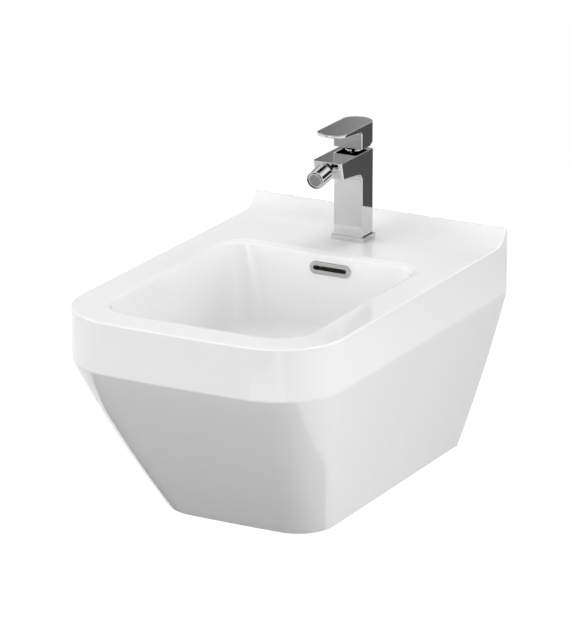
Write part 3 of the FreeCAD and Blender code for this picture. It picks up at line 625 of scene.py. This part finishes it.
    def basin_outline(self, drop: float) -> list[Vector]:
        """Draws the basin's plan at a drop below the rim.

        Args:
            drop: Drop below the rim.

        Returns:
            Points from the front end of the right side clockwise.
        """
        share = drop / self.basin
        half = self.opening_width / 2 - drop * math.tan(math.radians(self.side_slope))
        front = -(self.depth - self.front_rim) + drop * math.tan(math.radians(self.front_slope))
        back = -self.rear_deck - drop * math.tan(math.radians(self.back_slope))
        front_r = self.opening_front_corner + share * (self.floor_corner - self.opening_front_corner)
        back_r = self.opening_back_corner + share * (self.floor_corner - self.opening_back_corner)
        corners = [(half - front_r, front + front_r, front_r), (front_r - half, front + front_r, front_r),
                   (back_r - half, back - back_r, back_r), (half - back_r, back - back_r, back_r)]
        ring = []
        for (x, y, radius), start in zip(corners, self.corner_turns()):
            centre = Vector((x, y, self.rim - drop))
            ring += level_arc(centre, radius, start, start - math.pi / 2, self.corner_steps)
        return ring

    def basin_rings(self) -> list[list[Vector]]:
        """Draws the basin.

        Returns:
            Rings from the deck's flat over the edge, down the wall and onto the floor.
        """
        top = self.basin_outline(0.0)
        floor = self.basin_outline(self.basin)
        outward = []
        for start in self.corner_turns():
            outward += level_arc(Vector(), 1.0, start, start - math.pi / 2, self.corner_steps)
        columns = []
        for high, low, out in zip(top, floor, outward):
            wall = Vector((0, 0, self.basin)) + out * (high - low).dot(out)
            down = -wall.normalized()
            rear = max(0.0, out.y)
            crease = high + out * (self.roll_start + self.roll_run * rear)
            lowered = high - Vector((0, 0, self.roll_drop * rear))
            radius = self.opening_edge + (self.rear_edge - self.opening_edge) * rear
            edge = rounded(crease, lowered, lowered - wall, radius, self.edge_steps)
            foot = rounded(low + wall, low, low - out, self.floor_fillet, 2 * self.edge_steps)
            fall = (lowered - crease).normalized()
            columns.append([crease + out * self.margin, crease, crease + fall * self.margin, *edge,
                            edge[-1] + down * self.margin, foot[0] - down * self.margin, *foot,
                            foot[-1] - out * self.margin])
        return [list(ring) for ring in zip(*columns)]

    def circle(self, y: float, z: float, radius: float) -> list[Vector]:
        """Returns a level circle of points in the body's plane of symmetry."""
        return level_arc(Vector((0, y, z)), radius, 0.0, 2 * math.pi, 2 * self.corner_steps)[:-1]

    def overflow_outline(self) -> list[Vector]:
        """Draws the overflow hole.

        Returns:
            Points of its outline on the basin's rear wall.
        """
        tilt = math.radians(self.back_slope)
        down = Vector((0, -math.sin(tilt), -math.cos(tilt)))
        centre = Vector((self.overflow_x, -self.rear_deck, self.rim)) + down * self.overflow_drop
        length, height = self.overflow_hole
        reach = (length - height) / 2
        half_turn = level_arc(Vector(), height / 2, -math.pi / 2, math.pi / 2, 2 * self.edge_steps)
        ends = [p + Vector((reach, 0, 0)) for p in half_turn]
        ends += [-p for p in ends]
        return [centre + Vector((p.x, 0, 0)) + down * p.y for p in ends]

    def glazed_skin(self) -> Skin:
        """Joins the outside, the deck and the basin, with holes for tap, overflow and waste.

        Returns:
            The glazed surface, open at the wall and below.
        """
        rings_before_edge = 3  # of the basin: the end of the deck's flat and the start of the roll
        corners_before_back = 3  # of the basin's outline: its rear line follows the third corner
        wall_top = rings_before_edge + self.edge_steps + 1
        back_line = corners_before_back * (self.corner_steps + 1) - 1
        skin = Skin()
        outer = [skin.ring(points) for points in self.outer_rings()]
        for low, high in zip(outer, outer[1:]):
            skin.strip(high, low, False)
        deck = outer[-1]
        foot = len(self.lip_profile()) - 1
        last = len(deck) - 1
        for i in range(foot):
            skin.mesh.faces.new((deck[i], deck[last - i], deck[last - i - 1], deck[i + 1]))
        basin = [skin.ring(points) for points in self.basin_rings()]
        for index, (high, low) in enumerate(zip(basin, basin[1:])):
            skin.strip(low, high, True, back_line if index == wall_top else None)
        tap_y, tap_r = self.tap_hole
        waste_y, waste_r = self.waste_hole
        up = Vector((0, 0, 1))
        tap_ring = skin.ring(self.circle(tap_y, self.rim, tap_r))
        skin.fill([deck[foot:last - foot + 1], basin[0], tap_ring], up)
        waste_ring = skin.ring(self.circle(waste_y, self.rim - self.basin, waste_r))
        skin.fill([basin[-1], waste_ring], up)
        tilt = math.radians(self.back_slope)
        high, low = basin[wall_top], basin[wall_top + 1]
        panel = [high[back_line], high[back_line + 1], low[back_line + 1], low[back_line]]
        skin.fill([panel, skin.ring(self.overflow_outline())], Vector((0, -math.cos(tilt), math.sin(tilt))))
        return skin

    def build(self) -> list[bpy.types.Object]:
        """Builds the body from the glazed skin and the CAD's faces for wall side, underside and hollow.

        Returns:
            The body as the only piece.
        """
        near = 2.0  # a CAD face this close to the glazed skin
        alike = 0.7  # and turned the same way, by the cosine between them, is the same face
        sliver = 0.1  # narrower faces have no sure direction
        sharp_turn = 35.0
        skin = self.glazed_skin()
        skin.mesh.normal_update()
        tree = BVHTree.FromBMesh(skin.mesh)
        inside = welded("ceramic_body")
        covered = []
        for face in inside.faces:
            spot, normal, _, _ = tree.find_nearest(face.calc_center_median(), near * MM)
            longest = max(edge.calc_length() for edge in face.edges)
            narrow = 2 * face.calc_area() < sliver * MM * longest
            if spot is not None and (narrow or normal.dot(face.normal) > alike):
                covered.append(face)
        bmesh.ops.delete(inside, geom=covered, context="FACES")
        for face in inside.faces:
            face.material_index = 1
        rest = bpy.data.meshes.new("hollow")
        inside.to_mesh(rest)
        inside.free()
        skin.mesh.from_mesh(rest)
        soften(skin.mesh, sharp_turn)
        mesh = bpy.data.meshes.new("ceramic_skin")
        skin.mesh.to_mesh(mesh)
        skin.mesh.free()
        piece = dress(new_piece("ceramic_skin", mesh), GLAZED_CHINA, "ceramic_body")
        # The hollow's faces take the unglazed china, darkened as painted shade.
        mesh.materials.append(FIRED_CHINA_WITH_PAINTED_SHADE.material())
        return [piece]


@dataclass
class ChromedFittings:
    """Mixer, spray, overflow trim and waste, with all their inner parts.

    Attributes:
        polished: CAD nodes that are joined into polished skins; the others keep their mesh.
        satin: The one whose chrome is satin.
    """

    polished: tuple[str, ...] = (
        "mixer_body", "base_plate", "handle", "dome_ring", "socket_ring", "swivel_ball", "aerator_housing",
        "aerator_insert", "overflow_trim", "waste_body", "plug_cap")
    satin: str = "overflow_trim"

    def build(self) -> list[bpy.types.Object]:
        """Builds the polished skins and gives every other CAD node the finish of its slot.

        Returns:
            The skins and the other CAD nodes.
        """
        pieces = []
        for part in frame["record"]["subparts"]:
            node = part["node"]
            finish = SATIN_CHROME if node == self.satin else SLOT_FINISHES[part["material_slot"]]
            if node in self.polished:
                pieces.append(dress(polished_copy(node), finish, node))
            else:
                cad = frame["nodes"][node]
                cad.data.materials.clear()
                cad.data.materials.append(finish.material())
                pieces.append(cad)
        return pieces


@dataclass
class AeratorScreen:
    """Woven wire screen in the spray's mouth: two crossed rows of wires cut to a round outline."""

    radius: float = 7.7
    pitch: float = 0.6
    wire_radius: float = 0.16
    wire_sides: int = 8
    spray_drop: float = 10.0  # degrees that the spray points down

    def weave(self) -> bpy.types.NodeTree:
        """Builds the node group that lays the wires.

        Returns:
            The group, whose sizes are in metres.
        """
        group = bpy.data.node_groups.new("woven screen", "GeometryNodeTree")
        for name in ("Radius", "Pitch", "Wire Radius"):
            group.interface.new_socket(name, in_out="INPUT", socket_type="NodeSocketFloat")
        group.interface.new_socket("Wire", in_out="INPUT", socket_type="NodeSocketMaterial")
        group.interface.new_socket("Geometry", in_out="OUTPUT", socket_type="NodeSocketGeometry")
        given = add_node(group, "NodeGroupInput").outputs
        less = add_node(group, "ShaderNodeMath", {
            0: given["Pitch"], 1: given["Radius"]}, operation="SUBTRACT")
        left = add_node(group, "ShaderNodeCombineXYZ", {"X": less.outputs["Value"]})
        more = add_node(group, "ShaderNodeMath", {
            0: given["Radius"], 1: given["Pitch"]}, operation="SUBTRACT")
        right = add_node(group, "ShaderNodeCombineXYZ", {"X": more.outputs["Value"]})
        row = add_node(group, "GeometryNodeMeshLine", {
            "Start Location": left.outputs["Vector"], "Resolution": given["Pitch"]},
            mode="END_POINTS", count_mode="RESOLUTION")
        end = next(socket for socket in row.inputs if socket.identifier == "Offset")
        group.links.new(right.outputs["Vector"], end)
        position = add_node(group, "GeometryNodeInputPosition").outputs["Position"]
        place = add_node(group, "ShaderNodeSeparateXYZ", {"Vector": position})
        aside = add_node(group, "ShaderNodeMath", {
            0: place.outputs["X"], 1: given["Radius"]}, operation="DIVIDE")
        turn = add_node(group, "ShaderNodeMath", {0: aside.outputs["Value"]}, operation="ARCCOSINE")
        reach = add_node(group, "ShaderNodeMath", {0: turn.outputs["Value"]}, operation="SINE")
        scale = add_node(group, "ShaderNodeCombineXYZ", {"X": 1.0, "Y": 1.0, "Z": reach.outputs["Value"]})
        length = add_node(group, "ShaderNodeMath", {0: given["Radius"], 1: 2.0}, operation="MULTIPLY")
        wire = add_node(group, "GeometryNodeMeshCylinder", {
            "Vertices": self.wire_sides, "Radius": given["Wire Radius"], "Depth": length.outputs["Value"]})
        wires = add_node(group, "GeometryNodeInstanceOnPoints", {
            "Points": row.outputs["Mesh"], "Instance": wire.outputs["Mesh"],
            "Rotation": (math.pi / 2, 0.0, 0.0), "Scale": scale.outputs["Vector"]})
        above = add_node(group, "ShaderNodeCombineXYZ", {"Z": given["Wire Radius"]})
        crossed = add_node(group, "GeometryNodeTransform", {
            "Geometry": wires.outputs["Instances"], "Translation": above.outputs["Vector"],
            "Rotation": (0.0, 0.0, math.pi / 2)})
        both = add_node(group, "GeometryNodeJoinGeometry", {"Geometry": wires.outputs["Instances"]})
        group.links.new(crossed.outputs["Geometry"], both.inputs["Geometry"])
        real = add_node(group, "GeometryNodeRealizeInstances", {"Geometry": both.outputs["Geometry"]})
        dressed = add_node(group, "GeometryNodeSetMaterial", {
            "Geometry": real.outputs["Geometry"], "Material": given["Wire"]})
        add_node(group, "NodeGroupOutput", {"Geometry": dressed.outputs["Geometry"]})
        return group

    def build(self) -> list[bpy.types.Object]:
        """Builds the screen in the place of the CAD's perforated disc.

        Returns:
            The screen as the only piece.
        """
        piece = new_piece("woven_screen", bpy.data.meshes.new("woven_screen"))
        weaving = piece.modifiers.new("weave", "NODES")
        weaving.node_group = self.weave()
        values = {"Radius": self.radius * MM, "Pitch": self.pitch * MM, "Wire Radius": self.wire_radius * MM,
                  "Wire": DRAWN_STAINLESS.material()}
        for socket in weaving.node_group.interface.items_tree:
            if socket.in_out == "INPUT":
                weaving[socket.identifier] = values[socket.name]
        plain_mesh(piece)
        corners = [vertex.co for vertex in frame["nodes"]["aerator_screen"].data.vertices]
        low = Vector([min(c[axis] for c in corners) for axis in range(3)])
        high = Vector([max(c[axis] for c in corners) for axis in range(3)])
        spray = toward(0.0, -self.spray_drop)
        facing = spray.to_track_quat("Z", "Y").to_matrix().to_4x4()
        piece.data.transform(Matrix.Translation((low + high) / 2) @ facing)
        return [dress(piece, DRAWN_STAINLESS, "aerator_screen")]


@dataclass(frozen=True)
class Panel:
    """One soft light panel that looks at the middle of the bidet.

    Attributes:
        name: Name of the panel.
        azimuth: Degrees from the front towards +X.
        elevation: Degrees above the horizon.
        power: Light output in watts.
        size: Side of the square panel.
    """

    name: str
    azimuth: float
    elevation: float
    power: float
    size: float = 1.4

    def hang(self, middle: Vector, distance: float) -> None:
        """Hangs the panel.

        Args:
            middle: Middle of the bidet.
            distance: Distance of the panel from it.
        """
        data = bpy.data.lights.new(self.name, "AREA")
        data.shape = "SQUARE"
        data.size = self.size
        data.energy = self.power
        lamp = bpy.data.objects.new(self.name, data)
        out = toward(self.azimuth, self.elevation)
        lamp.location = middle + out * distance
        lamp.rotation_euler = (-out).to_track_quat("-Z", "Y").to_euler()
        lamp.visible_camera = False
        lamp.visible_glossy = False
        bpy.context.scene.collection.objects.link(lamp)


@dataclass(frozen=True)
class Card:
    """Flat card that only mirrors see: it gives glaze and chrome something to reflect in the white room.

    Attributes:
        name: Name of the card.
        corner: First corner.
        across: Edge from the first corner to the second, along which the shade changes.
        along: Edge from the first corner to the last.
        shades: Brightness at the start and at the end of the first edge; white is 1.
    """

    name: str
    corner: Point
    across: Point
    along: Point
    shades: tuple[float, float]

    def stand(self) -> None:
        """Puts the card in the scene."""
        start, across, along = Vector(self.corner), Vector(self.across), Vector(self.along)
        mesh = bpy.data.meshes.new(self.name)
        mesh.from_pydata([start, start + across, start + across + along, start + along], [], [(0, 1, 2, 3)])
        first, last = self.shades
        shade = mesh.attributes.new("shade", "FLOAT", "POINT")
        shade.data.foreach_set("value", (first, last, last, first))
        paint = bpy.data.materials.new(self.name)
        tree = empty_tree(paint)
        level = add_node(tree, "ShaderNodeAttribute", attribute_name="shade")
        glow = add_node(tree, "ShaderNodeEmission", {"Strength": level.outputs["Fac"]})
        add_node(tree, "ShaderNodeOutputMaterial", {"Surface": glow.outputs["Emission"]})
        mesh.materials.append(paint)
        piece = new_piece(self.name, mesh)
        for ray in ("camera", "diffuse", "shadow", "transmission", "volume_scatter"):
            setattr(piece, "visible_" + ray, False)


@dataclass
class Studio:
    """White studio: camera, sky, floor, soft panels and cards.

    Attributes:
        azimuth: Degrees from the front towards +X at which the camera stands.
        elevation: Degrees by which the camera looks down.
        eye: Place of the camera.
        focal_px: Focal length in pixels of the image.
        sensor: Width of the camera's sensor in millimetres.
        sight: How far the camera sees.
        middle: Middle of the bidet, at which the panels look.
        panel_distance: Distance of the panels from the middle.
        sky: Strength of the sky as a light.
        floor_z: Height of the floor.
        floor_reach: Half the side of the square floor.
        floor_shade: Colour of the floor as a source of light.
        shadow_shade: Colour of the seen floor, which takes the shadow.
        floor_glow: Brightness that the seen floor has of its own.
        panels: Soft light panels.
        cards: Cards for mirrors.
    """

    azimuth: float = 28.53
    elevation: float = 17.81
    eye: Point = (2.5344, -4.9118, 1.734)
    focal_px: float = 4591.0
    sensor: float = 36.0
    sight: float = 100.0
    middle: Point = (0.0, -0.25, 0.0)
    panel_distance: float = 2.6
    sky: float = 0.0
    floor_z: float = -0.32
    floor_reach: float = 1.5
    floor_shade: str = "#a0a0a0"
    shadow_shade: str = "#606060"
    floor_glow: float = 0.93
    panels: tuple[Panel, ...] = (
        Panel("low left panel", azimuth=-60.0, elevation=8.0, power=28.0),
        Panel("low front panel", azimuth=20.0, elevation=8.0, power=10.0),
        Panel("low right panel", azimuth=60.0, elevation=8.0, power=23.0),
        Panel("low side panel", azimuth=105.0, elevation=8.0, power=21.5),
        Panel("low rear panel", azimuth=-150.0, elevation=8.0, power=54.0),
        Panel("upper side panel", azimuth=-80.0, elevation=35.0, power=11.5),
        Panel("upper left panel", azimuth=-30.0, elevation=35.0, power=20.0),
        Panel("upper right panel", azimuth=50.0, elevation=35.0, power=14.0),
        Panel("upper rear panel", azimuth=150.0, elevation=35.0, power=19.5),
        Panel("top panel", azimuth=0.0, elevation=90.0, power=28.5),
    )
    cards: tuple[Card, ...] = (
        # Painted shadow: dark sheets on the floor in front of, under and to the right of the bidet stand for
        # its cast shadow there, as mirrors see it; the right one darkens towards the wall.
        Card("painted floor shadow in front", (-0.45, -0.56, -0.319), (0.0, -0.25, 0.0), (0.72, 0.0, 0.0), (0.0, 1.0)),
        Card("painted floor shadow below", (-0.45, -0.26, -0.319), (0.0, -0.3, 0.0), (0.72, 0.0, 0.0), (0.0, 0.0)),
        Card("painted floor shadow on the right", (0.1, -0.25, -0.318), (0.0, 0.9, 0.0), (0.5, 0.0, 0.0), (1.0, 0.4)),
        Card("mat behind on the right", (0.45, 0.5, -0.317), (0.0, 0.6, 0.0), (1.2, 0.0, 0.0), (1.0, 0.1)),
        Card("far mat behind on the right", (0.45, 1.1, -0.317),
             (0.0, 1.2, 0.0), (1.2, 0.0, 0.0), (0.1, 0.1)),
        Card("strip light", (-0.22, -1.6, -0.318), (1.0, 0.0, 0.0), (0.0, 0.5, 0.0), (2.3, 2.3)),
        Card("overhead light", (-1.5, -1.5, 1.8), (3.0, 0.0, 0.0), (0.0, 3.0, 0.0), (0.5, 0.5)),
        Card("dark end of the room", (0.0, -2.4, -0.1), (2.6, 0.9, 0.0), (0.0, 0.0, 1.0), (0.0, 0.0)),
        Card("far wall", (-32.5, 60.0, 0.0), (1.8, 0.0, 0.0), (0.0, 0.0, 19.9), (0.14, 0.44)),
        Card("far wall on the left", (-70.0, 60.0, 0.0), (37.5, 0.0, 0.0), (0.0, 0.0, 19.9), (0.14, 0.14)),
        Card("far wall on the right", (-30.7, 60.0, 0.0), (70.0, 0.0, 0.0), (0.0, 0.0, 19.9), (0.44, 0.05)),
        Card("far wall above", (-70.0, 60.0, 19.9), (0.0, 0.0, 25.0), (110.0, 0.0, 0.0), (0.5, 0.7)),
        Card("light box in front", (-0.5, -1.6, 0.1), (0.6, 0.0, 0.0), (0.0, 0.0, 0.3), (2.4, 2.4)),
        Card("flag for upright fronts", (-0.68, -1.2, -0.19),
             (0.2, 0.0, 0.0), (0.0, 0.0, 0.14), (0.42, 0.42)),
        Card("upper flag in front", (-0.78, -1.2, 0.53), (0.35, 0.0, 0.0), (0.0, 0.0, 0.3), (0.48, 0.48)),
        Card("dark flag behind", (0.45, 1.0, 0.15), (0.55, 0.0, 0.0), (0.0, 0.0, 0.6), (0.02, 0.02)),
        # Painted shade: a black sheet in the gap between the spout's top and the handle, seen only in the
        # spout's mirror, stands for the shade in that gap.
        Card("painted shade below the handle", (-0.018, -0.0865, 0.1995),
             (0.036, 0.0, 0.0), (0.0, 0.03, 0.0), (0.0, 0.0)),
    )

    def camera(self) -> None:
        """Puts the camera at the photo's place."""
        data = bpy.data.cameras.new("camera")
        data.sensor_width = self.sensor
        data.lens = self.focal_px / IMAGE_HEIGHT_PX * self.sensor
        data.clip_end = self.sight
        camera = bpy.data.objects.new("camera", data)
        camera.location = self.eye
        look = -toward(self.azimuth, self.elevation)
        camera.rotation_euler = look.to_track_quat("-Z", "Y").to_euler()
        bpy.context.scene.collection.objects.link(camera)
        bpy.context.scene.camera = camera

    def seen(self, tree: bpy.types.NodeTree) -> bpy.types.NodeSocket:
        """Tells what is seen from what only sends light.

        Args:
            tree: Node tree of a material or world.

        Returns:
            Socket that is 1 for what the eye, mirrors and glass see, and 0 for light on surfaces.
        """
        path = add_node(tree, "ShaderNodeLightPath")
        mirrored = add_node(tree, "ShaderNodeMath", {
            0: path.outputs["Is Glossy Ray"], 1: path.outputs["Is Transmission Ray"]}, operation="MAXIMUM")
        eye = add_node(tree, "ShaderNodeMath", {
            0: path.outputs["Is Camera Ray"], 1: mirrored.outputs["Value"]}, operation="MAXIMUM")
        return eye.outputs["Value"]

    def world(self) -> None:
        """Makes the sky: white to the eye and in mirrors, with a strength of its own as a light."""
        world = bpy.data.worlds.new("studio sky")
        bpy.context.scene.world = world
        tree = empty_tree(world)
        soft = add_node(tree, "ShaderNodeBackground", {"Color": linear("#ffffff"), "Strength": self.sky})
        white = add_node(tree, "ShaderNodeBackground", {"Color": linear("#ffffff"), "Strength": 1.0})
        mix = add_node(tree, "ShaderNodeMixShader", {
            0: self.seen(tree), 1: soft.outputs["Background"], 2: white.outputs["Background"]})
        add_node(tree, "ShaderNodeOutputWorld", {"Surface": mix.outputs["Shader"]})

    def floor(self) -> None:
        """Lays the floor: white with a faint shadow to the eye and in mirrors, grey as a source of light."""
        far = self.floor_reach
        plan = ((-far, -far), (far, -far), (far, far), (-far, far))
        mesh = bpy.data.meshes.new("floor")
        mesh.from_pydata([(x, y, self.floor_z) for x, y in plan], [], [(0, 1, 2, 3)])
        paint = bpy.data.materials.new("studio floor paint")
        tree = empty_tree(paint)
        matt = add_node(tree, "ShaderNodeBsdfDiffuse", {"Color": linear(self.floor_shade)})
        shaded = add_node(tree, "ShaderNodeBsdfDiffuse", {"Color": linear(self.shadow_shade)})
        glow = add_node(tree, "ShaderNodeEmission", {
            "Color": linear("#ffffff"), "Strength": self.floor_glow})
        white = add_node(tree, "ShaderNodeAddShader", {
            0: shaded.outputs["BSDF"], 1: glow.outputs["Emission"]})
        mix = add_node(tree, "ShaderNodeMixShader", {
            0: self.seen(tree), 1: matt.outputs["BSDF"], 2: white.outputs["Shader"]})
        add_node(tree, "ShaderNodeOutputMaterial", {"Surface": mix.outputs["Shader"]})
        mesh.materials.append(paint)
        new_piece("floor", mesh)

    def build(self) -> None:
        """Builds the whole studio."""
        bpy.context.scene.view_settings.view_transform = "Standard"
        self.camera()
        self.world()
        self.floor()
        for panel in self.panels:
            panel.hang(Vector(self.middle), self.panel_distance)
        for card in self.cards:
            card.stand()


def main() -> None:
    """Builds the bidet and its studio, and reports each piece."""
    logging.basicConfig(level=logging.INFO, format="%(message)s")
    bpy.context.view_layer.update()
    for assembly in (GlazedBody(), ChromedFittings(), AeratorScreen()):
        for piece in assembly.build():
            LOG.info("%s: %d faces", piece.name, len(piece.data.polygons))
    Studio().build()


if __name__ == "__main__":
    main()
